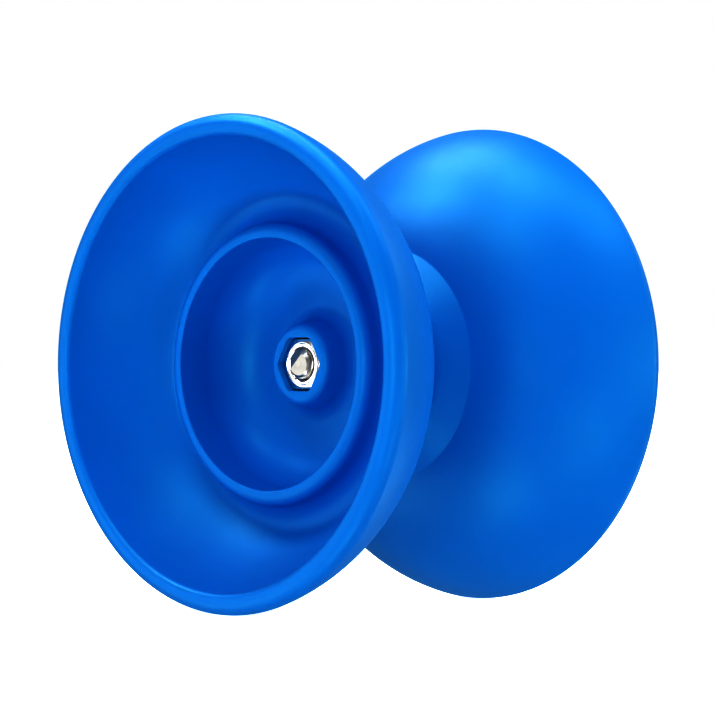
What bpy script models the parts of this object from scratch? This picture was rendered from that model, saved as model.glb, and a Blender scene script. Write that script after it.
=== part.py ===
"""A ball-bearing diabolo, lying on the rims of its two cups.

Two moulded cups stand back to back on one M6 stud, each held by a nut in a hexagonal pocket. Between the
hubs a steel sleeve, which the string runs on, turns on two shielded ball bearings. The spin axis is Y, the
front cup opens towards -Y, and the origin is the middle of the string gap. Depths count outwards from there.
"""

import math

import bmesh
import bpy
from mathutils import Matrix, Vector

MM = 0.001

# Fits
FIT = 0.3 * MM  # between pieces that touch
RUN = 0.2 * MM  # between a ball and what it rolls on or in

# Modelling
OVERRUN = 1.0 * MM  # how far a cutter runs past what it cuts
MERGE = 0.001 * MM
SMOOTH_ANGLE = math.radians(30)

# Cup: a bowl between two arcs about one centre, ending in a rounded lip
LIP_DEPTH = 37.6 * MM
BOWL_CENTRE = Vector((13.45 * MM, 42.93 * MM))
BOWL_OUTER = 35.5 * MM
BOWL_INNER = 31.0 * MM
LIP_OUTER_ROUND = 2.5 * MM
LIP_INNER_ROUND = 1.2 * MM
CUP_SEGMENTS = 40

# Hub: from the string gap to the crease where the bowl begins
HUB_FACE_DEPTH = 3.4 * MM
HUB_FACE_RADIUS = 18.1 * MM
HUB_FACE_ROUND = 4.0 * MM
CREASE = Vector((23.1 * MM, 8.8 * MM))
CREASE_ROUND = 0.8 * MM

# Ring that stands up inside the bowl
RING_DEPTH = 24.6 * MM
RING_INNER_RADIUS = 24.5 * MM
RING_OUTER_RADIUS = 27.2 * MM
RING_INNER_ROUND = 0.35 * MM
RING_OUTER_ROUND = 1.9 * MM
RING_OUTER_DRAFT = math.radians(6)
RING_INNER_DRAFT = math.radians(3)
GROOVE_ROUND = 3.5 * MM

# Small bowl inside the ring, and the boss in its middle
FLOOR_DEPTH = 9.3 * MM
FLOOR_ROUND = 9.5 * MM
BOSS_DEPTH = 15.8 * MM
BOSS_TOP_RADIUS = 7.7 * MM
BOSS_FOOT_RADIUS = 9.3 * MM
BOSS_FOOT_ROUND = 1.0 * MM
BOSS_TOP_ROUND = 1.5 * MM

# Stud and nuts: M6
STUD_RADIUS = 2.9 * MM
STUD_TIP_RADIUS = 2.2 * MM
STUD_HALF_LENGTH = 15.9 * MM
STUD_CHAMFER = 0.7 * MM
STUD_SEGMENTS = 24
BORE_RADIUS = STUD_RADIUS + FIT
NUT_ACROSS_FLATS = 9.8 * MM
NUT_THICKNESS = 5.0 * MM
NUT_FACE_DEPTH = 14.8 * MM
NUT_FACE_RADIUS = 4.35 * MM
NUT_COUNTERSINK_RADIUS = 3.55 * MM
NUT_CHAMFER_ANGLE = math.radians(30)
NUT_SEGMENTS = 24
NUT_BACK_DEPTH = NUT_FACE_DEPTH - NUT_THICKNESS
POCKET_ACROSS_FLATS = NUT_ACROSS_FLATS + 2 * FIT
POCKET_FLOOR_DEPTH = NUT_BACK_DEPTH - FIT

# Ball bearing: 6 x 15 x 5
BEARING_WIDTH = 5.0 * MM
BEARING_OUTER_RADIUS = 7.5 * MM
BALL_RADIUS = 1.19 * MM
BALL_COUNT = 7
BALL_SEGMENTS = 10
BALL_RINGS = 6
PITCH_RADIUS = 5.25 * MM
INNER_SHOULDER = 4.55 * MM
OUTER_SHOULDER = 5.95 * MM
RACE_CHAMFER = 0.3 * MM
RACE_SEGMENTS = 20
RACEWAY_STEPS = 4
CAGE_INNER_RADIUS = 4.8 * MM
CAGE_OUTER_RADIUS = 5.7 * MM
CAGE_HALF_WIDTH = 1.7 * MM
CAGE_SEGMENTS = 28
POCKET_SIDES = 10
SHIELD_INNER_RADIUS = INNER_SHOULDER + RUN
SHIELD_OUTER_RADIUS = 6.4 * MM
SHIELD_SEAT_RADIUS = SHIELD_OUTER_RADIUS + RUN
SHIELD_THICKNESS = 0.35 * MM
SHIELD_OFFSET = CAGE_HALF_WIDTH + RUN
SHIELD_SEAT_OFFSET = SHIELD_OFFSET - RUN / 2

# Clamped stack on the stud: shim, bearing, centre shim, bearing, shim
SHIM_RADIUS = 4.4 * MM
CENTRE_SHIM_HALF_WIDTH = 0.4 * MM
BEARING_OFFSET = CENTRE_SHIM_HALF_WIDTH + FIT + BEARING_WIDTH / 2
SIDE_SHIM_THICKNESS = 0.6 * MM
SIDE_SHIM_DEPTH = BEARING_OFFSET + BEARING_WIDTH / 2 + FIT
SEAT_DEPTH = SIDE_SHIM_DEPTH + SIDE_SHIM_THICKNESS + FIT

# String sleeve, pressed over both bearings, with an inner rib between them
SLEEVE_HALF_LENGTH = 5.9 * MM
SLEEVE_WAIST_RADIUS = 9.3 * MM
SLEEVE_END_RADIUS = 9.9 * MM
SLEEVE_BORE_RADIUS = BEARING_OUTER_RADIUS + FIT
SLEEVE_RIB_RADIUS = 6.9 * MM
SLEEVE_WAIST_HALF = 2.0 * MM
SLEEVE_FLARE_HALF = 4.6 * MM
SLEEVE_CHAMFER = 0.3 * MM
SLEEVE_SEGMENTS = 28
SEAT_RADIUS = 10.6 * MM
SEAT_CHAMFER = 0.4 * MM

FRONT = -1
REAR = 1
SIDES = (("front", FRONT), ("rear", REAR))

BLUE_PLASTIC = ((0.0, 0.105, 0.70), 0.38, 0.0)
CHROME = ((0.80, 0.80, 0.82), 0.12, 1.0)
ZINC = ((0.62, 0.63, 0.65), 0.30, 1.0)
BEARING_STEEL = ((0.60, 0.61, 0.63), 0.18, 1.0)
CAGE_BRASS = ((0.72, 0.52, 0.24), 0.32, 1.0)
SHIELD_STEEL = ((0.52, 0.53, 0.55), 0.28, 1.0)


# ---------------------------------------------------------------- outlines, as (radius, depth) points


def arc(centre, radius, first, last, steps):
    """Points on a circle about centre, from the angle first to the angle last."""
    angles = [first + (last - first) * step / steps for step in range(steps + 1)]
    return [centre + radius * Vector((math.cos(angle), math.sin(angle))) for angle in angles]


def rounded(before, corner, after, radius, steps=3):
    """The arc that rounds the corner between two straight lines."""
    before, corner, after = Vector(before), Vector(corner), Vector(after)
    back = (before - corner).normalized()
    ahead = (after - corner).normalized()
    half = back.angle(ahead) / 2
    centre = corner + (back + ahead).normalized() * radius / math.sin(half)
    start = corner + back * radius / math.tan(half) - centre
    turn = start.angle_signed(corner + ahead * radius / math.tan(half) - centre)
    first = math.atan2(start.y, start.x)
    return arc(centre, radius, first, first - turn, steps)


def direction(vector):
    return math.atan2(vector.y, vector.x)


def radius_at(bowl_radius, depth):
    """How far out a circle about the bowl's centre lies at one depth."""
    return BOWL_CENTRE.x + math.sqrt(bowl_radius**2 - (BOWL_CENTRE.y - depth) ** 2)


def hub_outline():
    """From the stud's bore, round the bearing seat and the hub's end face, to the crease."""
    bore = (BORE_RADIUS, SEAT_DEPTH)
    seat = (SEAT_RADIUS, SEAT_DEPTH)
    mouth = (SEAT_RADIUS, HUB_FACE_DEPTH + SEAT_CHAMFER)
    face = (SEAT_RADIUS + SEAT_CHAMFER, HUB_FACE_DEPTH)
    shoulder = rounded(face, (HUB_FACE_RADIUS, HUB_FACE_DEPTH), CREASE, HUB_FACE_ROUND)
    inward = BOWL_CENTRE - CREASE
    along_bowl = Vector((inward.y, -inward.x))
    crease = rounded(shoulder[-1], CREASE, CREASE + along_bowl, CREASE_ROUND, 2)
    return [bore, seat, mouth, face, *shoulder, *crease]


def bowl_outline():
    """Out along the bowl, round the lip, back down inside and round the groove at the ring's foot."""
    outer = Vector((0, LIP_DEPTH - LIP_OUTER_ROUND))
    outer.x = radius_at(BOWL_OUTER - LIP_OUTER_ROUND, outer.y)
    inner = Vector((0, LIP_DEPTH - LIP_INNER_ROUND))
    inner.x = radius_at(BOWL_INNER + LIP_INNER_ROUND, inner.y)
    first = direction(CREASE - BOWL_CENTRE)
    last = direction(outer - BOWL_CENTRE)
    outside = arc(BOWL_CENTRE, BOWL_OUTER, first, last, 8)[1:]
    lip_outer = arc(outer, LIP_OUTER_ROUND, last, math.pi / 2, 4)[1:]
    lip_inner = arc(inner, LIP_INNER_ROUND, math.pi / 2, direction(BOWL_CENTRE - inner), 3)

    # The groove's arc touches the drafted side of the ring and the inside of the bowl.
    down = Vector((math.sin(RING_OUTER_DRAFT), -math.cos(RING_OUTER_DRAFT)))
    outward = Vector((math.cos(RING_OUTER_DRAFT), math.sin(RING_OUTER_DRAFT)))
    start = Vector((RING_OUTER_RADIUS, RING_DEPTH)) + GROOVE_ROUND * outward
    reach = start - BOWL_CENTRE
    along = -reach.dot(down) + math.sqrt(
        reach.dot(down) ** 2 - reach.length_squared + (BOWL_INNER - GROOVE_ROUND) ** 2
    )
    groove = start + along * down
    touch = direction(groove - BOWL_CENTRE)
    inside = arc(BOWL_CENTRE, BOWL_INNER, direction(inner - BOWL_CENTRE), touch, 5)[1:]
    foot = arc(groove, GROOVE_ROUND, touch, direction(-outward), 4)[1:]
    return [*outside, *lip_outer, *lip_inner, *inside, *foot]


def middle_outline(foot):
    """Over the ring's crest, down into the small bowl, up the boss and in to the stud's bore."""
    crest_outer = (RING_OUTER_RADIUS, RING_DEPTH)
    crest_inner = (RING_INNER_RADIUS, RING_DEPTH)
    drop = RING_DEPTH - FLOOR_DEPTH
    corner = (RING_INNER_RADIUS - drop * math.tan(RING_INNER_DRAFT), FLOOR_DEPTH)
    boss_foot = (BOSS_FOOT_RADIUS, FLOOR_DEPTH)
    boss_top = (BOSS_TOP_RADIUS, BOSS_DEPTH)
    bore = (BORE_RADIUS, BOSS_DEPTH)
    return [
        *rounded(foot, crest_outer, crest_inner, RING_OUTER_ROUND),
        *rounded(crest_outer, crest_inner, corner, RING_INNER_ROUND, 1),
        *rounded(crest_inner, corner, boss_foot, FLOOR_ROUND, 5),
        *rounded(corner, boss_foot, boss_top, BOSS_FOOT_ROUND, 2),
        *rounded(boss_foot, boss_top, bore, BOSS_TOP_ROUND, 3),
        bore,
    ]


def cup_outline():
    bowl = bowl_outline()
    return hub_outline() + bowl + middle_outline(bowl[-1])


def nut_outline():
    """A turned blank with both rims bevelled; the hexagon is cut from it afterwards."""
    corner = NUT_ACROSS_FLATS / math.sqrt(3)
    overhang = corner + OVERRUN
    bevel = (overhang - NUT_FACE_RADIUS) * math.tan(NUT_CHAMFER_ANGLE)
    sink = NUT_COUNTERSINK_RADIUS - BORE_RADIUS
    half = NUT_THICKNESS / 2
    upper = [
        (BORE_RADIUS, half - sink),
        (NUT_COUNTERSINK_RADIUS, half),
        (NUT_FACE_RADIUS, half),
        (overhang, half - bevel),
    ]
    lower = [(radius, -depth) for radius, depth in reversed(upper)]
    return upper + lower


def stud_outline():
    shoulder = STUD_HALF_LENGTH - STUD_CHAMFER
    return [
        (0, -STUD_HALF_LENGTH),
        (STUD_TIP_RADIUS, -STUD_HALF_LENGTH),
        (STUD_RADIUS, -shoulder),
        (STUD_RADIUS, shoulder),
        (STUD_TIP_RADIUS, STUD_HALF_LENGTH),
        (0, STUD_HALF_LENGTH),
    ]


def ring_outline(inner, outer, half):
    return [(inner, -half), (outer, -half), (outer, half), (inner, half)]


def inner_race_outline():
    """A plain bore, bevelled ends and a raceway round the outside."""
    half = BEARING_WIDTH / 2
    raceway_radius = BALL_RADIUS + RUN
    reach = math.acos((PITCH_RADIUS - INNER_SHOULDER) / raceway_radius)
    raceway = arc(
        Vector((PITCH_RADIUS, 0)), raceway_radius, math.pi + reach, math.pi - reach, RACEWAY_STEPS
    )
    return [
        (BORE_RADIUS, half),
        (BORE_RADIUS, -half),
        (INNER_SHOULDER - RACE_CHAMFER, -half),
        (INNER_SHOULDER, -half + RACE_CHAMFER),
        *raceway,
        (INNER_SHOULDER, half - RACE_CHAMFER),
        (INNER_SHOULDER - RACE_CHAMFER, half),
    ]


def outer_race_outline():
    """A raceway round the inside, a seat for a shield at each end and bevelled outer edges."""
    half = BEARING_WIDTH / 2
    raceway_radius = BALL_RADIUS + RUN
    reach = math.acos((OUTER_SHOULDER - PITCH_RADIUS) / raceway_radius)
    raceway = arc(Vector((PITCH_RADIUS, 0)), raceway_radius, reach, -reach, RACEWAY_STEPS)
    return [
        (BEARING_OUTER_RADIUS - RACE_CHAMFER, -half),
        (BEARING_OUTER_RADIUS, -half + RACE_CHAMFER),
        (BEARING_OUTER_RADIUS, half - RACE_CHAMFER),
        (BEARING_OUTER_RADIUS - RACE_CHAMFER, half),
        (SHIELD_SEAT_RADIUS, half),
        (SHIELD_SEAT_RADIUS, SHIELD_SEAT_OFFSET),
        (OUTER_SHOULDER, SHIELD_SEAT_OFFSET),
        *raceway,
        (OUTER_SHOULDER, -SHIELD_SEAT_OFFSET),
        (SHIELD_SEAT_RADIUS, -SHIELD_SEAT_OFFSET),
        (SHIELD_SEAT_RADIUS, -half),
    ]


def sleeve_outline():
    """Waisted outside, where the string runs, with the bearings' rib half way along the bore."""
    outside = [
        (SLEEVE_END_RADIUS - SLEEVE_CHAMFER, -SLEEVE_HALF_LENGTH),
        (SLEEVE_END_RADIUS, -SLEEVE_HALF_LENGTH + SLEEVE_CHAMFER),
        (SLEEVE_END_RADIUS, -SLEEVE_FLARE_HALF),
        (SLEEVE_WAIST_RADIUS, -SLEEVE_WAIST_HALF),
    ]
    inside = [
        (SLEEVE_RIB_RADIUS, CENTRE_SHIM_HALF_WIDTH),
        (SLEEVE_BORE_RADIUS, CENTRE_SHIM_HALF_WIDTH),
        (SLEEVE_BORE_RADIUS, SLEEVE_HALF_LENGTH),
    ]
    return [
        *outside,
        *[(radius, -depth) for radius, depth in reversed(outside)],
        *reversed(inside),
        *[(radius, -depth) for radius, depth in inside],
    ]


# ---------------------------------------------------------------- pieces


def finish(obj, look):
    """Gives a piece its own material: colour, roughness and metallic value."""
    colour, roughness, metallic = look
    material = bpy.data.materials.new(obj.name)
    material.use_nodes = True
    shader = material.node_tree.nodes["Principled BSDF"]
    shader.inputs["Base Color"].default_value = (*colour, 1)
    shader.inputs["Roughness"].default_value = roughness
    shader.inputs["Metallic"].default_value = metallic
    obj.data.materials.append(material)


def mesh_object(name, shape, depth, look=None):
    """Turns a bmesh into an object whose origin is on the spin axis, at one depth."""
    bmesh.ops.recalc_face_normals(shape, faces=shape.faces)
    mesh = bpy.data.meshes.new(name)
    shape.to_mesh(mesh)
    shape.free()
    mesh.shade_smooth()
    mesh.set_sharp_from_angle(angle=SMOOTH_ANGLE)
    obj = bpy.data.objects.new(name, mesh)
    obj.location = (0, depth, 0)
    bpy.context.scene.collection.objects.link(obj)
    if look:
        finish(obj, look)
    return obj


def turned(name, outline, segments, depth=0.0, look=None, side=REAR):
    """Spins an outline about the Y axis, starting half a step round so that the body lies on a flat."""
    shape = bmesh.new()
    points = [shape.verts.new((radius, side * along, 0)) for radius, along in outline]
    on_axis = outline[0][0] == 0
    ends = list(zip(points, points[1:]))
    if not on_axis:
        ends.append((points[-1], points[0]))
    edges = [shape.edges.new(pair) for pair in ends]
    half_step = Matrix.Rotation(math.pi / segments, 4, "Y")
    bmesh.ops.transform(shape, matrix=half_step, verts=points)
    bmesh.ops.spin(
        shape, geom=points + edges, axis=(0, 1, 0), cent=(0, 0, 0), angle=math.tau, steps=segments
    )
    bmesh.ops.remove_doubles(shape, verts=shape.verts, dist=MERGE)
    bmesh.ops.dissolve_degenerate(shape, edges=shape.edges, dist=MERGE)
    return mesh_object(name, shape, depth, look)


def hexagon(name, across_flats, first, last):
    """A hexagonal prism along Y, with flats above and below."""
    shape = bmesh.new()
    bmesh.ops.create_cone(
        shape,
        cap_ends=True,
        segments=6,
        radius1=across_flats / math.sqrt(3),
        radius2=across_flats / math.sqrt(3),
        depth=abs(last - first),
    )
    stand = Matrix.Rotation(math.pi / 2, 4, "X") @ Matrix.Rotation(math.pi / 6, 4, "Z")
    bmesh.ops.transform(shape, matrix=stand, verts=shape.verts)
    return mesh_object(name, shape, (first + last) / 2)


def boolean(obj, tool, operation):
    """Joins a tool body to a piece by a Boolean, and hides the tool."""
    tool.hide_render = True
    tool.display_type = "WIRE"
    tool.parent = obj
    tool.matrix_parent_inverse = Matrix.Translation(-obj.location)
    modifier = obj.modifiers.new(tool.name, "BOOLEAN")
    modifier.operation = operation
    modifier.solver = "EXACT"
    modifier.object = tool


def cup(name, side):
    obj = turned(f"{name}_cup", cup_outline(), CUP_SEGMENTS, look=BLUE_PLASTIC, side=side)
    first = side * POCKET_FLOOR_DEPTH
    last = side * (BOSS_DEPTH + OVERRUN)
    boolean(obj, hexagon(f"{name}_pocket_cutter", POCKET_ACROSS_FLATS, first, last), "DIFFERENCE")
    return obj


def nut(name, side):
    depth = side * (NUT_FACE_DEPTH + NUT_BACK_DEPTH) / 2
    obj = turned(f"{name}_nut", nut_outline(), NUT_SEGMENTS, depth, CHROME)
    reach = NUT_THICKNESS / 2 + OVERRUN
    prism = hexagon(f"{name}_nut_hexagon", NUT_ACROSS_FLATS, depth - reach, depth + reach)
    boolean(obj, prism, "INTERSECT")
    return obj


def cage(name, depth):
    """A brass ring with a round window for each ball."""
    outline = ring_outline(CAGE_INNER_RADIUS, CAGE_OUTER_RADIUS, CAGE_HALF_WIDTH)
    obj = turned(f"{name}_cage", outline, CAGE_SEGMENTS, depth, CAGE_BRASS)
    shape = bmesh.new()
    for index in range(BALL_COUNT):
        place = Matrix.Rotation(math.tau * index / BALL_COUNT, 4, "Y")
        upright = Matrix.Translation((0, 0, PITCH_RADIUS))
        bmesh.ops.create_cone(
            shape,
            cap_ends=True,
            segments=POCKET_SIDES,
            radius1=BALL_RADIUS + RUN,
            radius2=BALL_RADIUS + RUN,
            depth=2 * OVERRUN,
            matrix=place @ upright,
        )
    boolean(obj, mesh_object(f"{name}_cage_windows", shape, depth), "DIFFERENCE")
    return obj


def ball(name, index, carrier):
    """One ball on the pitch circle, carried round by the cage."""
    shape = bmesh.new()
    bmesh.ops.create_uvsphere(
        shape, u_segments=BALL_SEGMENTS, v_segments=BALL_RINGS, radius=BALL_RADIUS
    )
    obj = mesh_object(f"{name}_ball_{index + 1}", shape, 0, BEARING_STEEL)
    angle = math.tau * index / BALL_COUNT
    obj.location = (PITCH_RADIUS * math.sin(angle), 0, PITCH_RADIUS * math.cos(angle))
    obj.parent = carrier
    return obj


def shield(name, place, depth):
    outline = ring_outline(SHIELD_INNER_RADIUS, SHIELD_OUTER_RADIUS, SHIELD_THICKNESS / 2)
    return turned(f"{name}_{place}_shield", outline, RACE_SEGMENTS, depth, SHIELD_STEEL)


def axis_empty(name, depth=0.0):
    """An empty on the spin axis, which carries pieces that turn together."""
    empty = bpy.data.objects.new(name, None)
    empty.location = (0, depth, 0)
    bpy.context.scene.collection.objects.link(empty)
    return empty


def carry(carrier, *pieces):
    for piece in pieces:
        piece.parent = carrier
        piece.matrix_parent_inverse = Matrix.Translation(-carrier.location)


def bearing(name, side, rotor):
    """Inner race on the stud, outer race and shields with the sleeve, cage and balls between."""
    depth = side * BEARING_OFFSET
    turned(f"{name}_inner_race", inner_race_outline(), RACE_SEGMENTS, depth, BEARING_STEEL)
    outer = turned(f"{name}_outer_race", outer_race_outline(), RACE_SEGMENTS, depth, BEARING_STEEL)
    shield_depth = SHIELD_OFFSET + SHIELD_THICKNESS / 2
    outside = shield(name, "outside", depth + side * shield_depth)
    inside = shield(name, "inside", depth - side * shield_depth)
    carry(rotor, outer, outside, inside)
    carrier = axis_empty(f"{name}_cage_axis", depth)
    carry(carrier, cage(name, depth))
    for index in range(BALL_COUNT):
        ball(name, index, carrier)


def build():
    for obj in list(bpy.data.objects):
        bpy.data.objects.remove(obj)
    rotor = axis_empty("sleeve_axis")
    carry(rotor, turned("string_sleeve", sleeve_outline(), SLEEVE_SEGMENTS, look=ZINC))
    turned("axle_stud", stud_outline(), STUD_SEGMENTS, look=ZINC)
    centre = ring_outline(BORE_RADIUS, SHIM_RADIUS, CENTRE_SHIM_HALF_WIDTH)
    turned("centre_shim", centre, RACE_SEGMENTS, look=ZINC)
    for name, side in SIDES:
        cup(name, side)
        nut(name, side)
        bearing(name, side, rotor)
        outline = ring_outline(BORE_RADIUS, SHIM_RADIUS, SIDE_SHIM_THICKNESS / 2)
        depth = side * (SIDE_SHIM_DEPTH + SIDE_SHIM_THICKNESS / 2)
        turned(f"{name}_shim", outline, RACE_SEGMENTS, depth, ZINC)


build()
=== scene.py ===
import math

import bmesh
import bpy
import numpy as np
from mathutils import Matrix, Vector


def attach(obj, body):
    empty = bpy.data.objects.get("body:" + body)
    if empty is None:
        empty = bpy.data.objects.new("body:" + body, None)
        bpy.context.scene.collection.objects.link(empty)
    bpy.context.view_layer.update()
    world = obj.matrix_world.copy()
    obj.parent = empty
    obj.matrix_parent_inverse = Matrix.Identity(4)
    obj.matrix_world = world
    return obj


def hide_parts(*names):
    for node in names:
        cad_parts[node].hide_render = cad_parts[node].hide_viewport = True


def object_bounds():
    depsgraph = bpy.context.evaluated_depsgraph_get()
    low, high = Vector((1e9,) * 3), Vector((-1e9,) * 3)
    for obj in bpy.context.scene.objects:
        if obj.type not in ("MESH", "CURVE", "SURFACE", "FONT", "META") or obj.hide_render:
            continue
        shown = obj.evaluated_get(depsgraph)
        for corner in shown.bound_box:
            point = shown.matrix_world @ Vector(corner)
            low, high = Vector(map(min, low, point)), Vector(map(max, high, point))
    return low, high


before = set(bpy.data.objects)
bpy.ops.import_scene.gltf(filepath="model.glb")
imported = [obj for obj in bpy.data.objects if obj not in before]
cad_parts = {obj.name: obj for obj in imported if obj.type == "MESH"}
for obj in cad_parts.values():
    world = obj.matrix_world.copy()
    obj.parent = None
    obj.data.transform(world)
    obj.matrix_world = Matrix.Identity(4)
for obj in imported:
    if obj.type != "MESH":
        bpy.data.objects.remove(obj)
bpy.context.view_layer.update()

MM = 0.001

# ---------------------------------------------------------------- sizes, in metres

# Cup
LIP_DEPTH = 37.6 * MM
BOWL_CENTRE = np.array((13.45 * MM, 42.93 * MM))
BOWL_OUTER = 35.5 * MM
BOWL_INNER = 31.0 * MM
LIP_OUTER_ROUND = 2.5 * MM
LIP_INNER_ROUND = 1.2 * MM
HUB_FACE_DEPTH = 3.4 * MM
HUB_FACE_RADIUS = 18.1 * MM
HUB_FACE_ROUND = 4.0 * MM
CREASE = np.array((23.1 * MM, 8.8 * MM))
CREASE_ROUND = 0.8 * MM
SEAT_RADIUS = 10.6 * MM
SEAT_DEPTH = 6.9 * MM
SEAT_EDGE = 0.35 * MM
SEAT_CORNER = 0.5 * MM
RING_DEPTH = 24.6 * MM
RING_INNER_RADIUS = 24.5 * MM
RING_OUTER_RADIUS = 27.2 * MM
RING_INNER_ROUND = 0.35 * MM
RING_OUTER_ROUND = 1.9 * MM
RING_OUTER_DRAFT = math.radians(6)
RING_INNER_DRAFT = math.radians(3)
GROOVE_ROUND = 3.5 * MM
FLOOR_DEPTH = 9.3 * MM
FLOOR_ROUND = 9.5 * MM
BOSS_DEPTH = 15.8 * MM
BOSS_TOP_RADIUS = 7.7 * MM
BOSS_FOOT_RADIUS = 9.3 * MM
BOSS_FOOT_ROUND = 3.2 * MM
BOSS_TOP_ROUND = 1.5 * MM
POCKET_FLATS = 10.4 * MM
POCKET_FLOOR = 9.5 * MM
POCKET_EDGE = 0.22 * MM
POCKET_CORNER_ROUND = 1.6 * MM
BORE_RADIUS = 3.2 * MM

# Nut and stud
NUT_FLATS = 9.8 * MM
NUT_FACE_DEPTH = 14.8 * MM
NUT_BACK_DEPTH = 9.8 * MM
NUT_FACE_RADIUS = 4.35 * MM
NUT_SINK_RADIUS = 3.5 * MM
NUT_LINE_RADIUS = 4.05 * MM
NUT_BORE_RADIUS = 3.06 * MM
NUT_CHAMFER = math.radians(22)
NUT_CORNER_ROUND = 1.6 * MM
NUT_EDGE = 0.1 * MM
NUT_LINE_HALF_WIDTH = 0.14 * MM
NUT_LINE_DEPTH = 0.09 * MM
STUD_HALF = 15.9 * MM
THREAD_CREST = 2.96 * MM
THREAD_ROOT = 2.40 * MM
THREAD_PITCH = 1.0 * MM
THREAD_START = 9.0 * MM
THREAD_RUN_IN = 0.8 * MM
THREAD_STEPS = 14
# The thread's profile, in halves of its pitch from the middle of a crest
THREAD_FOOT = 0.78
THREAD_FLANK = 0.62
STUD_SHANK = 2.88 * MM
STUD_TIP_RADIUS = 2.15 * MM
STUD_CHAMFER = 0.75 * MM
# Ground faces on the stud's ends: direction across and up, distance from the axis, degrees of tilt
END_FACETS = (((-0.70, 0.72), 0.84 * MM, 18), ((0.95, -0.3), 0.25 * MM, 4))

# Bearings
BEARING_OFFSET = 3.2 * MM
BEARING_HALF = 2.5 * MM
PITCH_RADIUS = 5.25 * MM
BALL_RADIUS = 1.19 * MM
BALL_COUNT = 7
RACEWAY_RADIUS = 1.29 * MM
INNER_SHOULDER = 4.55 * MM
OUTER_SHOULDER = 5.95 * MM
OUTER_RADIUS = 7.5 * MM
INNER_RACE_EDGE = 0.25 * MM
OUTER_RACE_EDGE = 0.3 * MM
SHIELD_SEAT_RADIUS = 6.6 * MM
SHIELD_SEAT_DEPTH = 1.8 * MM
SHIELD_OFFSET = 2.075 * MM
SHIELD_THICKNESS = 0.2 * MM
# Radius and depth along the outer face of a shield, in millimetres
SHIELD_LINE = ((4.75, 0.04), (5.25, 0.04), (5.45, 0.15), (6.1, 0.15), (6.25, 0.12), (6.4, -0.01))
CAGE_INNER = 4.8 * MM
CAGE_OUTER = 5.7 * MM
CAGE_HALF = 1.7 * MM
CAGE_EDGE = 0.15 * MM
WINDOW_RADIUS = 1.39 * MM
WINDOW_DEPTH = 2 * MM

# Sleeve and shims
SLEEVE_HALF = 5.9 * MM
SLEEVE_WAIST = 9.3 * MM
SLEEVE_WAIST_HALF = 5.0 * MM
# Where the waist starts to flare and how far the flare runs, as shares of half its width
SLEEVE_FLARE_START = 0.25
SLEEVE_FLARE_LENGTH = 0.7
SLEEVE_END = 9.88 * MM
SLEEVE_BORE = 7.8 * MM
SLEEVE_RIB = 6.9 * MM
SLEEVE_RIB_HALF = 0.4 * MM
SLEEVE_RIB_EDGE = 0.1 * MM
SLEEVE_END_ROUND = 0.35 * MM
SLEEVE_BORE_ROUND = 0.25 * MM
SHIM_RADIUS = 4.4 * MM
SHIM_EDGE = 0.12 * MM
CENTRE_SHIM_HALF = 0.4 * MM
SIDE_SHIM_HALF = 0.3 * MM
SIDE_SHIM_OFFSET = 6.3 * MM

# Fineness of the meshes
CUP_SEGMENTS = 240
NUT_SEGMENTS = 144
STUD_SEGMENTS = 72
RACE_SEGMENTS = 96
CAGE_SEGMENTS = 112
SLEEVE_SEGMENTS = 160
SLEEVE_WAIST_STEPS = 24
BALL_SEGMENTS = 32
WINDOW_SEGMENTS = 40
ARC_STEP = math.radians(5)
BOWL_STEP = math.radians(2)
# Edges that turn by more than this many degrees are drawn sharp
SHARP_ANGLE = 35
NUT_SHARP_ANGLE = 25
STUD_SHARP_ANGLE = 40
MERGE_DISTANCE = 0.002 * MM
POLE_RADIUS = 0.004 * MM


# ---------------------------------------------------------------- outlines, as radius and depth


def arc(centre, radius, first, last, step=ARC_STEP):
    """Points on a circle about centre, from the angle first to the angle last."""
    count = max(2, math.ceil(abs(last - first) / step))
    angles = np.linspace(first, last, count + 1)
    return [np.array(centre) + radius * np.array((math.cos(a), math.sin(a))) for a in angles]


def unit(vector):
    return vector / np.linalg.norm(vector)


def direction(vector):
    return math.atan2(vector[1], vector[0])


def rounded(before, corner, after, radius):
    """The arc that rounds the corner between two straight lines."""
    before, corner, after = (np.array(point, float) for point in (before, corner, after))
    back, ahead = unit(before - corner), unit(after - corner)
    half = math.acos(np.clip(back @ ahead, -1, 1)) / 2
    centre = corner + unit(back + ahead) * radius / math.sin(half)
    start = corner + back * radius / math.tan(half) - centre
    end = corner + ahead * radius / math.tan(half) - centre
    turn = math.remainder(direction(end) - direction(start), math.tau)
    return arc(centre, radius, direction(start), direction(start) + turn)


def radius_at(bowl_radius, depth):
    """How far out a circle about the bowl's centre lies at one depth."""
    return BOWL_CENTRE[0] + math.sqrt(bowl_radius**2 - (BOWL_CENTRE[1] - depth) ** 2)


def smoothstep(share):
    """Eases from 0 to 1, level at both ends."""
    share = np.clip(share, 0, 1)
    return share * share * (3 - 2 * share)


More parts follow.
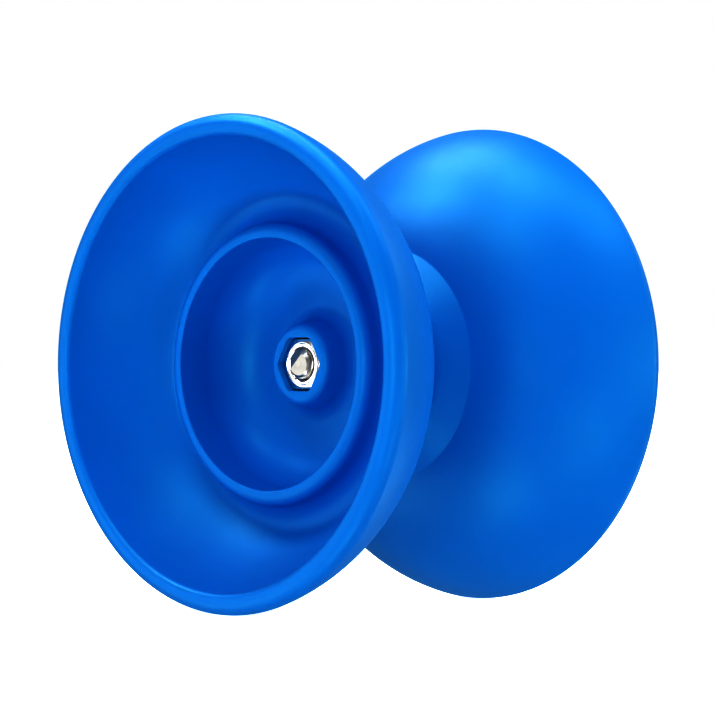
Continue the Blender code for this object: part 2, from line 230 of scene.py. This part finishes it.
def cup_outline():
    """Round the whole section of a cup, from the seat's floor to the middle of the boss's top."""
    bore = (BORE_RADIUS, SEAT_DEPTH)
    seat = (SEAT_RADIUS, SEAT_DEPTH)
    mouth = (SEAT_RADIUS, HUB_FACE_DEPTH)
    face = (HUB_FACE_RADIUS, HUB_FACE_DEPTH)
    shoulder = rounded(mouth, face, CREASE, HUB_FACE_ROUND)
    inward = BOWL_CENTRE - CREASE
    along_bowl = CREASE + np.array((inward[1], -inward[0]))
    hub = [
        *rounded(bore, seat, mouth, SEAT_CORNER),
        *rounded(seat, mouth, face, SEAT_EDGE),
        *shoulder,
        *rounded(shoulder[-1], CREASE, along_bowl, CREASE_ROUND),
    ]

    outer_depth = LIP_DEPTH - LIP_OUTER_ROUND
    outer = np.array((radius_at(BOWL_OUTER - LIP_OUTER_ROUND, outer_depth), outer_depth))
    inner_depth = LIP_DEPTH - LIP_INNER_ROUND
    inner = np.array((radius_at(BOWL_INNER + LIP_INNER_ROUND, inner_depth), inner_depth))
    first = direction(CREASE - BOWL_CENTRE) + BOWL_STEP
    last = direction(outer - BOWL_CENTRE)
    lip = [
        *arc(BOWL_CENTRE, BOWL_OUTER, first, last, BOWL_STEP),
        *arc(outer, LIP_OUTER_ROUND, last, math.pi / 2)[1:],
        *arc(inner, LIP_INNER_ROUND, math.pi / 2, direction(BOWL_CENTRE - inner)),
    ]

    # The groove's arc touches the drafted side of the ring and the inside of the bowl.
    down = np.array((math.sin(RING_OUTER_DRAFT), -math.cos(RING_OUTER_DRAFT)))
    outward = np.array((math.cos(RING_OUTER_DRAFT), math.sin(RING_OUTER_DRAFT)))
    start = np.array((RING_OUTER_RADIUS, RING_DEPTH)) + GROOVE_ROUND * outward
    reach = start - BOWL_CENTRE
    slack = (BOWL_INNER - GROOVE_ROUND) ** 2 - reach @ reach
    groove = start + (-(reach @ down) + math.sqrt((reach @ down) ** 2 + slack)) * down
    touch = direction(groove - BOWL_CENTRE)
    inside = [
        *arc(BOWL_CENTRE, BOWL_INNER, direction(inner - BOWL_CENTRE), touch, BOWL_STEP)[1:],
        *arc(groove, GROOVE_ROUND, touch, direction(-outward))[1:],
    ]

    crest_outer = (RING_OUTER_RADIUS, RING_DEPTH)
    crest_inner = (RING_INNER_RADIUS, RING_DEPTH)
    drop = RING_DEPTH - FLOOR_DEPTH
    corner = (RING_INNER_RADIUS - drop * math.tan(RING_INNER_DRAFT), FLOOR_DEPTH)
    boss_foot = (BOSS_FOOT_RADIUS, FLOOR_DEPTH)
    boss_top = (BOSS_TOP_RADIUS, BOSS_DEPTH)
    middle = [
        *rounded(inside[-1], crest_outer, crest_inner, RING_OUTER_ROUND),
        *rounded(crest_outer, crest_inner, corner, RING_INNER_ROUND),
        *rounded(crest_inner, corner, boss_foot, FLOOR_ROUND),
        *rounded(corner, boss_foot, boss_top, BOSS_FOOT_ROUND),
        *rounded(boss_foot, boss_top, (0, BOSS_DEPTH), BOSS_TOP_ROUND),
    ]
    return hub + lip + inside + middle


def rounded_outline(corners, radius):
    """A closed outline through these corners, with every corner rounded."""
    points = []
    for index, corner in enumerate(corners):
        after = corners[(index + 1) % len(corners)]
        points += rounded(corners[index - 1], corner, after, radius)
    return points


def washer_outline(inner, outer, half, edge):
    return rounded_outline([(inner, -half), (outer, -half), (outer, half), (inner, half)], edge)


# ---------------------------------------------------------------- meshes


def angles_of(segments):
    return np.arange(segments) * math.tau / segments


def hexagon(across_flats, corner_round, segments):
    """The radius of a hexagon at each angle, with flats above and below and rounded corners."""
    sixth = math.pi / 3
    from_corner = np.mod(angles_of(segments) + sixth / 2, sixth) - sixth / 2
    flats = across_flats / 2
    plain = flats / np.cos(np.abs(from_corner) - sixth / 2)
    centre = (flats - corner_round) / math.cos(sixth / 2)
    end = math.atan2(
        corner_round * math.sin(sixth / 2), centre + corner_round * math.cos(sixth / 2)
    )
    off = centre * np.sin(from_corner)
    curve = centre * np.cos(from_corner) + np.sqrt(np.maximum(corner_round**2 - off**2, 0))
    return np.where(np.abs(from_corner) < end, curve, plain)


def lathe(name, rings, segments, side=1, closed=True, depth=0.0, sharp=SHARP_ANGLE):
    """A closed mesh round the Y axis.

    A ring is a radius and a depth, and each of them is one number or one for each angle.
    """
    angles = angles_of(segments)
    points = []
    for radius, along in rings:
        radius = np.broadcast_to(radius, segments)
        along = np.broadcast_to(along, segments)
        circle = [radius * np.cos(angles), side * along, radius * np.sin(angles)]
        points.append(np.stack(circle, 1))
    points = np.concatenate(points)
    count = len(rings)
    here = np.arange(segments)
    ahead = (here + 1) % segments
    faces = []
    for ring in range(count if closed else count - 1):
        a, b = ring * segments, ((ring + 1) % count) * segments
        faces.append(np.stack([a + here, a + ahead, b + ahead, b + here], 1))
    faces = np.concatenate(faces).tolist()
    if not closed:
        faces.append(list(range(segments)))
        faces.append([(count - 1) * segments + index for index in range(segments)])
    mesh = bpy.data.meshes.new(name)
    mesh.from_pydata(points.tolist(), [], faces)
    return piece_of(name, mesh, depth, sharp)


def piece_of(name, mesh, depth, sharp):
    """Turns the faces of a closed mesh outwards, and moves it along the spin axis by a depth."""
    work = bmesh.new()
    work.from_mesh(mesh)
    bmesh.ops.translate(work, verts=work.verts, vec=(0, depth, 0))
    bmesh.ops.recalc_face_normals(work, faces=work.faces)
    work.to_mesh(mesh)
    work.free()
    mesh.shade_smooth()
    mesh.set_sharp_from_angle(angle=math.radians(sharp))
    obj = bpy.data.objects.new(name, mesh)
    bpy.context.scene.collection.objects.link(obj)
    return obj


def cup(name, side):
    """One moulding: the turned section, then the hexagonal pocket and the stud's bore."""
    rings = list(cup_outline())
    turn = hexagon(POCKET_FLATS, POCKET_CORNER_ROUND, CUP_SEGMENTS)
    for step in np.linspace(0, math.pi / 2, 5):
        grow = POCKET_EDGE * (1 - math.sin(step))
        rings.append((turn + grow, BOSS_DEPTH - POCKET_EDGE * (1 - math.cos(step))))
    rings.append((turn, POCKET_FLOOR + POCKET_EDGE))
    rings.append((turn - POCKET_EDGE, POCKET_FLOOR))
    rings.append((BORE_RADIUS, POCKET_FLOOR))
    rings.append((BORE_RADIUS, SEAT_DEPTH))
    return lathe(name, rings, CUP_SEGMENTS, side)


def nut(name, side):
    """A hexagonal nut, the same on both faces: a countersunk bore, a fine turned line, and a bevel
    that cuts scallops into the flats."""
    turn = hexagon(NUT_FLATS, NUT_CORNER_ROUND, NUT_SEGMENTS)
    middle = (NUT_FACE_DEPTH + NUT_BACK_DEPTH) / 2
    half = (NUT_FACE_DEPTH - NUT_BACK_DEPTH) / 2
    upper = [
        (NUT_BORE_RADIUS, half - (NUT_SINK_RADIUS - NUT_BORE_RADIUS)),
        (NUT_SINK_RADIUS - NUT_EDGE / 2, half - NUT_EDGE / 2),
        (NUT_SINK_RADIUS + NUT_EDGE / 2, half),
        (NUT_LINE_RADIUS - NUT_LINE_HALF_WIDTH, half),
        (NUT_LINE_RADIUS, half - NUT_LINE_DEPTH),
        (NUT_LINE_RADIUS + NUT_LINE_HALF_WIDTH, half),
        (NUT_FACE_RADIUS - NUT_EDGE, half),
        (NUT_FACE_RADIUS, half - NUT_EDGE / 4),
    ]
    for share in (0.25, 0.5, 0.75, 0.92, 1.0):
        radius = NUT_FACE_RADIUS + (turn - NUT_FACE_RADIUS) * share
        drop = (radius - NUT_FACE_RADIUS) * math.tan(NUT_CHAMFER)
        upper.append((radius, half - drop - NUT_EDGE / 4))
    upper.append((turn, half - drop - NUT_EDGE))
    lower = [(radius, -depth) for radius, depth in reversed(upper)]
    return lathe(name, upper + lower, NUT_SEGMENTS, depth=side * middle, sharp=NUT_SHARP_ANGLE)


def stud(name):
    """A stud with a plain shank in the bearings, a rolled thread at each end and ground tips."""
    angles = angles_of(STUD_SEGMENTS) / math.tau
    step = THREAD_PITCH / THREAD_STEPS
    depths = np.arange(THREAD_START, STUD_HALF - step / 2, step)
    rings = []
    for side in (-1, 1):
        half = []
        for depth in [*depths, STUD_HALF]:
            phase = np.mod(side * depth / THREAD_PITCH - angles, 1)
            height = smoothstep((THREAD_FOOT - np.abs(2 * phase - 1)) / THREAD_FLANK)
            radius = THREAD_ROOT + (THREAD_CREST - THREAD_ROOT) * height
            run_in = np.clip((depth - THREAD_START) / THREAD_RUN_IN, 0, 1)
            radius = STUD_SHANK + (radius - STUD_SHANK) * run_in
            bevel = max(0, (depth - STUD_HALF + STUD_CHAMFER) / STUD_CHAMFER)
            tip = THREAD_CREST - (THREAD_CREST - STUD_TIP_RADIUS) * bevel
            half.append((np.minimum(radius, tip), side * depth))
        rings += reversed(half) if side < 0 else half
    obj = lathe(name, rings, STUD_SEGMENTS, closed=False, sharp=STUD_SHARP_ANGLE)
    for side in (-1, 1):
        for towards, offset, tilt in END_FACETS:
            slope = math.radians(tilt)
            away = Vector((towards[0], 0, towards[1])).normalized()
            edge = away * offset + Vector((0, side * STUD_HALF, 0))
            lean = away * math.sin(slope) + Vector((0, side * math.cos(slope), 0))
            grind(obj.data, edge, lean)
    return obj


def grind(mesh, point, normal):
    """Cuts off what lies beyond a plane, and closes the cut with a sharp-edged face."""
    work = bmesh.new()
    work.from_mesh(mesh)
    cut = bmesh.ops.bisect_plane(
        work,
        geom=[*work.verts, *work.edges, *work.faces],
        plane_co=point,
        plane_no=normal,
        clear_outer=True,
    )
    edges = [item for item in cut["geom_cut"] if isinstance(item, bmesh.types.BMEdge)]
    for edge in edges:
        edge.smooth = False
    bmesh.ops.contextual_create(work, geom=edges)
    bmesh.ops.recalc_face_normals(work, faces=work.faces)
    work.to_mesh(mesh)
    work.free()


def sleeve(name):
    """The turned string sleeve: a waist that flares smoothly to both ends, a rib in its bore."""
    waist = []
    for share in np.linspace(-1, 1, SLEEVE_WAIST_STEPS * 2 + 1):
        flare = smoothstep((abs(share) - SLEEVE_FLARE_START) / SLEEVE_FLARE_LENGTH)
        radius = SLEEVE_WAIST + (SLEEVE_END - SLEEVE_WAIST) * flare
        waist.append((radius, share * SLEEVE_WAIST_HALF))
    end = (SLEEVE_END, SLEEVE_HALF)
    bore = (SLEEVE_BORE, SLEEVE_HALF)
    half = [
        *rounded(waist[-1], end, bore, SLEEVE_END_ROUND),
        *rounded(end, bore, (SLEEVE_BORE, 0), SLEEVE_BORE_ROUND),
        (SLEEVE_BORE, SLEEVE_RIB_HALF),
        (SLEEVE_RIB + SLEEVE_RIB_EDGE, SLEEVE_RIB_HALF),
        (SLEEVE_RIB, SLEEVE_RIB_HALF - SLEEVE_RIB_EDGE),
    ]
    other = [(radius, -depth) for radius, depth in reversed(half)]
    return lathe(name, waist + half + other, SLEEVE_SEGMENTS)


def inner_race(name, depth):
    """The clamped race, with the balls' groove in its outside."""
    half, edge = BEARING_HALF, INNER_RACE_EDGE
    reach = math.acos((PITCH_RADIUS - INNER_SHOULDER) / RACEWAY_RADIUS)
    bore_top, bore_bottom = (BORE_RADIUS, half), (BORE_RADIUS, -half)
    top, bottom = (INNER_SHOULDER, half), (INNER_SHOULDER, -half)
    outline = [
        *rounded(top, bore_top, bore_bottom, edge),
        *rounded(bore_top, bore_bottom, bottom, edge),
        *rounded(bore_bottom, bottom, top, edge),
        *arc((PITCH_RADIUS, 0), RACEWAY_RADIUS, math.pi + reach, math.pi - reach),
        *rounded(bottom, top, bore_top, edge),
    ]
    return lathe(name, outline, RACE_SEGMENTS, depth=depth)


def outer_race(name, depth):
    """The race in the sleeve, with the balls' groove and the shields' seats in its bore."""
    half = BEARING_HALF
    reach = math.acos((OUTER_SHOULDER - PITCH_RADIUS) / RACEWAY_RADIUS)
    seat, step = SHIELD_SEAT_RADIUS, SHIELD_SEAT_DEPTH
    top, bottom = (OUTER_RADIUS, half), (OUTER_RADIUS, -half)
    outline = [
        *rounded((seat, -half), bottom, top, OUTER_RACE_EDGE),
        *rounded(bottom, top, (seat, half), OUTER_RACE_EDGE),
        (seat, half),
        (seat, step),
        (OUTER_SHOULDER, step),
        *arc((PITCH_RADIUS, 0), RACEWAY_RADIUS, reach, -reach),
        (OUTER_SHOULDER, -step),
        (seat, -step),
        (seat, -half),
    ]
    return lathe(name, outline, RACE_SEGMENTS, depth=depth)


def shield(name, depth, outwards):
    """A pressed shield: a flat web, a joggle and a curled edge that snaps into the outer race."""
    front = [(radius * MM, along * MM) for radius, along in SHIELD_LINE]
    back = [(radius, along - SHIELD_THICKNESS) for radius, along in reversed(front)]
    return lathe(name, front + back, RACE_SEGMENTS, side=outwards, depth=depth)


def ball(name, depth, index):
    """One polished ball on the pitch circle."""
    outline = [(POLE_RADIUS, -BALL_RADIUS)]
    for angle in np.linspace(-math.pi / 2, math.pi / 2, BALL_SEGMENTS // 2 + 1)[1:-1]:
        outline.append((BALL_RADIUS * math.cos(angle), BALL_RADIUS * math.sin(angle)))
    outline.append((POLE_RADIUS, BALL_RADIUS))
    obj = lathe(name, outline, BALL_SEGMENTS, closed=False)
    angle = math.tau * index / BALL_COUNT
    seat = (PITCH_RADIUS * math.sin(angle), depth, PITCH_RADIUS * math.cos(angle))
    obj.data.transform(Matrix.Translation(seat))
    return obj


def cage(name, depth):
    """A brass ring with a round window, bored from outside, for each ball."""
    outline = washer_outline(CAGE_INNER, CAGE_OUTER, CAGE_HALF, CAGE_EDGE)
    obj = lathe(name, outline, CAGE_SEGMENTS)
    work = bmesh.new()
    for index in range(BALL_COUNT):
        turn = Matrix.Rotation(math.tau * index / BALL_COUNT, 4, "Y")
        bmesh.ops.create_cone(
            work,
            cap_ends=True,
            segments=WINDOW_SEGMENTS,
            radius1=WINDOW_RADIUS,
            radius2=WINDOW_RADIUS,
            depth=WINDOW_DEPTH,
            matrix=turn @ Matrix.Translation((0, 0, PITCH_RADIUS)),
        )
    mesh = bpy.data.meshes.new("windows")
    work.to_mesh(mesh)
    work.free()
    cutter = bpy.data.objects.new("windows", mesh)
    bpy.context.scene.collection.objects.link(cutter)
    modifier = obj.modifiers.new("windows", "BOOLEAN")
    modifier.operation = "DIFFERENCE"
    modifier.solver = "EXACT"
    modifier.object = cutter
    graph = bpy.context.evaluated_depsgraph_get()
    cut = bpy.data.meshes.new_from_object(obj.evaluated_get(graph))
    # The cut leaves points that all but coincide. Merging them keeps the mesh closed.
    work = bmesh.new()
    work.from_mesh(cut)
    bmesh.ops.remove_doubles(work, verts=work.verts, dist=MERGE_DISTANCE)
    work.to_mesh(cut)
    work.free()
    obj.modifiers.clear()
    obj.data = cut
    bpy.data.objects.remove(cutter)
    cut.transform(Matrix.Translation((0, depth, 0)))
    cut.shade_smooth()
    cut.set_sharp_from_angle(angle=math.radians(SHARP_ANGLE))
    return obj


# ---------------------------------------------------------------- materials


class Nodes:
    """A short way to write a material's nodes."""

    def __init__(self, name):
        self.material = bpy.data.materials.new(name)
        self.material.use_nodes = True
        self.tree = self.material.node_tree
        self.shader = self.tree.nodes["Principled BSDF"]

    def link(self, source, target):
        self.tree.links.new(source, target)

    def add(self, kind, **settings):
        node = self.tree.nodes.new(kind)
        for key, value in settings.items():
            setattr(node, key, value)
        return node

    def value(self, node, index, source):
        """Feeds one input of a node with a number or with another node's output."""
        if isinstance(source, bpy.types.NodeSocket):
            self.link(source, node.inputs[index])
        else:
            node.inputs[index].default_value = source

    def math(self, operation, first, second=0.0):
        node = self.add("ShaderNodeMath", operation=operation)
        self.value(node, 0, first)
        self.value(node, 1, second)
        return node.outputs[0]

    def position(self):
        return self.add("ShaderNodeTexCoord").outputs["Object"]

    def noise(self, vector, size, detail=2.0, roughness=0.5):
        """Noise whose features are about one size across, in metres, from 0 to 1 round 0.5."""
        node = self.add("ShaderNodeTexNoise")
        self.link(vector, node.inputs["Vector"])
        node.inputs["Scale"].default_value = 1 / size
        node.inputs["Detail"].default_value = detail
        node.inputs["Roughness"].default_value = roughness
        return node.outputs["Fac"]

    def spread(self, source, low, high):
        """Maps noise from its usual range to low..high."""
        node = self.add("ShaderNodeMapRange")
        self.link(source, node.inputs["Value"])
        node.inputs["From Min"].default_value = 0.3
        node.inputs["From Max"].default_value = 0.7
        node.inputs["To Min"].default_value = low
        node.inputs["To Max"].default_value = high
        return node.outputs["Result"]

    def mix(self, factor, first, second):
        node = self.add("ShaderNodeMix", data_type="RGBA")
        self.link(factor, node.inputs[0])
        node.inputs[6].default_value = (*first, 1)
        node.inputs[7].default_value = (*second, 1)
        return node.outputs[2]

    def turned(self):
        """Coordinates that only change with the distance from the spin axis and along it."""
        split = self.add("ShaderNodeSeparateXYZ")
        self.link(self.position(), split.inputs[0])
        across, along, up = split.outputs
        squares = [self.math("MULTIPLY", part, part) for part in (across, up)]
        radius = self.math("SQRT", self.math("ADD", *squares))
        join = self.add("ShaderNodeCombineXYZ")
        self.link(radius, join.inputs[0])
        self.link(along, join.inputs[1])
        return join.outputs[0]

    def bump(self, height, distance, after=None):
        node = self.add("ShaderNodeBump")
        node.inputs["Strength"].default_value = 1.0
        node.inputs["Distance"].default_value = distance
        self.link(height, node.inputs["Height"])
        if after is not None:
            self.link(after, node.inputs["Normal"])
        return node.outputs["Normal"]

    def set(self, **sockets):
        for name, source in sockets.items():
            self.value(self.shader, name.replace("_", " "), source)


PLASTIC_TONES = (0.0, 0.244, 0.64), (0.0, 0.254, 0.66)
PLASTIC_TONE_SIZE = 14 * MM
PLASTIC_ROUGHNESS = 0.39, 0.45
PLASTIC_GLOSS_SIZE = 3 * MM
PLASTIC_GRAIN_SIZE = 0.35 * MM
PLASTIC_GRAIN_HEIGHT = 0.004 * MM
PLASTIC_RING_SIZE = 0.9 * MM
PLASTIC_RING_HEIGHT = 0.006 * MM
PLASTIC_SPECULAR = 0.51
PLASTIC_SPECULAR_TINT = (0.19, 1.0, 0.79, 1)
METAL_TONE_SIZE = 2.5 * MM
METAL_GRAIN_SIZE = 0.25 * MM
METAL_GRAIN_HEIGHT = 0.0015 * MM

# Slot: material, light and dark tone, least and most rough, width and height of the turning lines
METALS = {
    "nut_chrome": ("chrome_plate", (0.86, 0.86, 0.86), (0.78, 0.78, 0.79), 0.13, 0.22, 0.3, 2.0),
    "stud_zinc": ("zinc_plate", (0.47, 0.46, 0.43), (0.38, 0.37, 0.34), 0.26, 0.38, 0.25, 3.0),
    "shim_steel": ("stamped_steel", (0.70, 0.70, 0.72), (0.60, 0.60, 0.62), 0.25, 0.42, 0.2, 2.0),
    "sleeve_steel": ("turned_steel", (0.74, 0.75, 0.76), (0.64, 0.65, 0.67), 0.16, 0.32, 0.12, 1.5),
    "race_steel": ("ground_steel", (0.76, 0.76, 0.78), (0.70, 0.70, 0.72), 0.10, 0.22, 0.08, 1.0),
    "shield_steel": ("pressed_steel", (0.70, 0.71, 0.73), (0.62, 0.63, 0.65), 0.22, 0.36, 0.3, 2.0),
    "cage_brass": ("machined_brass", (0.78, 0.60, 0.30), (0.70, 0.52, 0.25), 0.20, 0.36, 0.15, 3.0),
    "ball_steel": ("lapped_steel", (0.82, 0.82, 0.83), (0.78, 0.78, 0.80), 0.04, 0.09, 0.4, 0.4),
}


def plastic(name):
    """Satin moulded plastic: a fine grain, slow changes of tone, faint marks of a turned mould."""
    nodes = Nodes(name)
    position = nodes.position()
    tone = nodes.spread(nodes.noise(position, PLASTIC_TONE_SIZE, 3), 0, 1)
    nodes.set(Base_Color=nodes.mix(tone, *PLASTIC_TONES))
    gloss = nodes.noise(position, PLASTIC_GLOSS_SIZE, 4)
    nodes.set(Roughness=nodes.spread(gloss, *PLASTIC_ROUGHNESS))
    grain = nodes.noise(position, PLASTIC_GRAIN_SIZE, 3, 0.6)
    rings = nodes.noise(nodes.turned(), PLASTIC_RING_SIZE, 2)
    normal = nodes.bump(grain, PLASTIC_GRAIN_HEIGHT)
    nodes.set(Normal=nodes.bump(rings, PLASTIC_RING_HEIGHT, after=normal))
    nodes.set(Specular_IOR_Level=PLASTIC_SPECULAR, Specular_Tint=PLASTIC_SPECULAR_TINT)
    return nodes.material


def metal(name, light, dark, smooth, rough, line_width, line_height):
    """Metal with turning lines round the spin axis and slight changes of tone and gloss.

    The lines' width is in millimetres, and their height in thousandths of one.
    """
    nodes = Nodes(name)
    position = nodes.position()
    tone = nodes.spread(nodes.noise(position, METAL_TONE_SIZE, 4), 0, 1)
    nodes.set(Base_Color=nodes.mix(tone, light, dark))
    turning = nodes.noise(nodes.turned(), line_width * MM, 4, 0.6)
    nodes.set(Roughness=nodes.spread(turning, smooth, rough))
    normal = nodes.bump(nodes.noise(position, METAL_GRAIN_SIZE, 3), METAL_GRAIN_HEIGHT)
    nodes.set(Normal=nodes.bump(turning, line_height * MM / 1000, after=normal))
    nodes.set(Metallic=1.0)
    return nodes.material


MATERIALS = {"cup_plastic": plastic("blue_plastic")}
for finish, values in METALS.items():
    MATERIALS[finish] = metal(*values)


def place(obj, body, slot, node):
    """Gives a piece its finish, and hangs it on its body in place of one CAD node."""
    obj.data.materials.clear()
    obj.data.materials.append(MATERIALS[slot])
    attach(obj, body)
    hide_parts(node)


# ---------------------------------------------------------------- the diabolo

place(stud("threaded_stud"), "cups", "stud_zinc", "axle_stud")
place(sleeve("turned_string_sleeve"), "sleeve", "sleeve_steel", "string_sleeve")
shim = washer_outline(BORE_RADIUS, SHIM_RADIUS, CENTRE_SHIM_HALF, SHIM_EDGE)
place(lathe("centre_spacer_shim", shim, RACE_SEGMENTS), "cups", "shim_steel", "centre_shim")

for end, side in (("front", -1), ("rear", 1)):
    depth = side * BEARING_OFFSET
    place(cup(f"{end}_cup_moulding", side), "cups", "cup_plastic", f"{end}_cup")
    place(nut(f"{end}_chrome_nut", side), "cups", "nut_chrome", f"{end}_nut")
    shim = washer_outline(BORE_RADIUS, SHIM_RADIUS, SIDE_SHIM_HALF, SHIM_EDGE)
    spacer = lathe(f"{end}_side_shim", shim, RACE_SEGMENTS, depth=side * SIDE_SHIM_OFFSET)
    place(spacer, "cups", "shim_steel", f"{end}_shim")
    place(inner_race(f"{end}_inner_ring", depth), "cups", "race_steel", f"{end}_inner_race")
    place(outer_race(f"{end}_outer_ring", depth), "sleeve", "race_steel", f"{end}_outer_race")
    for where, outwards in (("outside", side), ("inside", -side)):
        cover = shield(f"{end}_{where}_cover", depth + outwards * SHIELD_OFFSET, outwards)
        place(cover, "sleeve", "shield_steel", f"{end}_{where}_shield")
    place(cage(f"{end}_ball_cage", depth), f"{end}_balls", "cage_brass", f"{end}_cage")
    for index in range(BALL_COUNT):
        lapped = ball(f"{end}_lapped_ball_{index + 1}", depth, index)
        place(lapped, f"{end}_balls", "ball_steel", f"{end}_ball_{index + 1}")


# ---------------------------------------------------------------- camera, floor and light

HEADING = math.radians(44.76)
DISTANCE = 0.7159
TARGET_HEIGHT = 1.52 * MM
ASIDE = 0.24 * MM
LENS = 182.3
SENSOR_WIDTH = 36
CLIP_START = 0.01

look = Vector((-math.sin(HEADING), math.cos(HEADING), 0))
right = Vector((math.cos(HEADING), math.sin(HEADING), 0))
camera = bpy.data.objects.new("camera", bpy.data.cameras.new("camera"))
camera.data.lens = LENS
camera.data.sensor_width = SENSOR_WIDTH
camera.data.clip_start = CLIP_START
camera.location = -look * DISTANCE + right * ASIDE + Vector((0, 0, TARGET_HEIGHT))
camera.rotation_euler = look.to_track_quat("-Z", "Y").to_euler()
bpy.context.scene.collection.objects.link(camera)
bpy.context.scene.camera = camera


# Soft round lights all round the object. Each has a name, degrees round from the camera's side
# towards the right, degrees up, a width in metres and watts.
LIGHTS = (
    ("front", -30, 0, 0.55, 5.3),
    ("front_high", -30, 60, 0.55, 4.4),
    ("front_low", -30, -55, 0.4, 3.0),
    ("front_right_low", 30, -30, 0.55, 2.9),
    ("right_front", 60, 0, 0.55, 2.1),
    ("right", 90, 0, 0.55, 3.3),
    ("right_back_low", 120, -30, 0.55, 1.6),
    ("right_back_high", 120, 30, 0.55, 1.5),
    ("left_low", -90, -30, 0.55, 2.3),
    ("top", 0, 90, 0.55, 5.7),
    ("back_left", -150, 60, 0.55, 5.1),
)
# Fills, which don't show in reflections
FILLS = (
    ("right_back_low_fill", 120, -30, 0.55, 2.6),
    ("right_back_high_fill", 120, 30, 0.55, 1.8),
    ("back_fill", 160, -15, 0.55, 3.0),
)
# White cards, which only show in reflections
CARDS = (
    ("left_card", -90, 0, 0.7, 2.6),
    ("left_high_card", -100, 52, 0.5, 7.9),
    ("right_high_card", 75, 58, 0.6, 3.8),
    ("front_low_card", -30, -40, 0.6, 1.2),
    ("left_front_low_card", -60, -28, 0.45, 0.75),
    ("left_front_high_card", -60, 28, 0.45, 0.4),
)
LIGHT_DISTANCE = 1.1


def disk_light(name, azimuth, elevation, size, watts):
    """A round lamp that looks at the object and can't be seen itself."""
    across, up = math.radians(azimuth), math.radians(elevation)
    level = right * math.sin(across) - look * math.cos(across)
    towards = level * math.cos(up) + Vector((0, 0, math.sin(up)))
    light = bpy.data.lights.new(name, "AREA")
    light.shape = "DISK"
    light.size = size
    light.energy = watts
    lamp = bpy.data.objects.new(name, light)
    lamp.location = towards * LIGHT_DISTANCE
    lamp.rotation_euler = (-towards).to_track_quat("-Z", "Y").to_euler()
    lamp.visible_camera = False
    bpy.context.scene.collection.objects.link(lamp)
    return lamp


for light in LIGHTS:
    disk_light(*light)
for fill in FILLS:
    disk_light(*fill).visible_glossy = False
for card in CARDS:
    disk_light(*card).visible_diffuse = False

# A white room: plain white behind the object. It lights the object evenly, but only by part of
# that, and shows a little darker again in reflections.
ROOM_LIGHT = 0.42
ROOM_REFLECTED = 0.37

world = bpy.data.worlds.new("studio")
world.use_nodes = True
tree = world.node_tree
background = tree.nodes["Background"]
background.inputs["Color"].default_value = (1, 1, 1, 1)
rays = tree.nodes.new("ShaderNodeLightPath")
reflected = tree.nodes.new("ShaderNodeMapRange")
reflected.inputs["To Min"].default_value = ROOM_LIGHT
reflected.inputs["To Max"].default_value = ROOM_REFLECTED
tree.links.new(rays.outputs["Is Glossy Ray"], reflected.inputs["Value"])
level = tree.nodes.new("ShaderNodeMath")
level.operation = "MAXIMUM"
tree.links.new(reflected.outputs["Result"], level.inputs[0])
tree.links.new(rays.outputs["Is Camera Ray"], level.inputs[1])
tree.links.new(level.outputs[0], background.inputs["Strength"])
bpy.context.scene.world = world

# The floor glows almost as white as the room, and wholly so further away, so that it meets the
# background without a line.
FLOOR_REACH = 8.0
FLOOR_TONE = (0.85, 0.85, 0.85, 1)
FLOOR_ROUGHNESS = 0.9
GLOW = {"From Min": 0.15, "From Max": 0.9, "To Min": 0.96, "To Max": 1.0}

floor_mesh = bpy.data.meshes.new("floor")
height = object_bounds()[0][2]
quarters = ((-1, -1), (1, -1), (1, 1), (-1, 1))
corners = [(x * FLOOR_REACH, y * FLOOR_REACH, height) for x, y in quarters]
floor_mesh.from_pydata(corners, [], [(0, 1, 2, 3)])
floor = bpy.data.objects.new("floor", floor_mesh)
bpy.context.scene.collection.objects.link(floor)
floor.visible_diffuse = False
floor.visible_glossy = False
floor.visible_shadow = False
surface = Nodes("white_floor")
distance = surface.add("ShaderNodeVectorMath", operation="LENGTH")
surface.link(surface.position(), distance.inputs[0])
glow = surface.add("ShaderNodeMapRange", interpolation_type="SMOOTHSTEP")
surface.link(distance.outputs["Value"], glow.inputs["Value"])
for socket, value in GLOW.items():
    glow.inputs[socket].default_value = value
surface.set(Emission_Strength=glow.outputs["Result"], Emission_Color=(1, 1, 1, 1))
surface.set(Base_Color=FLOOR_TONE, Roughness=FLOOR_ROUGHNESS, Specular_IOR_Level=0.0)
floor_mesh.materials.append(surface.material)

view = bpy.context.scene.view_settings
view.view_transform = "Standard"
view.look = "None"
view.exposure = 0.0
view.gamma = 0.5
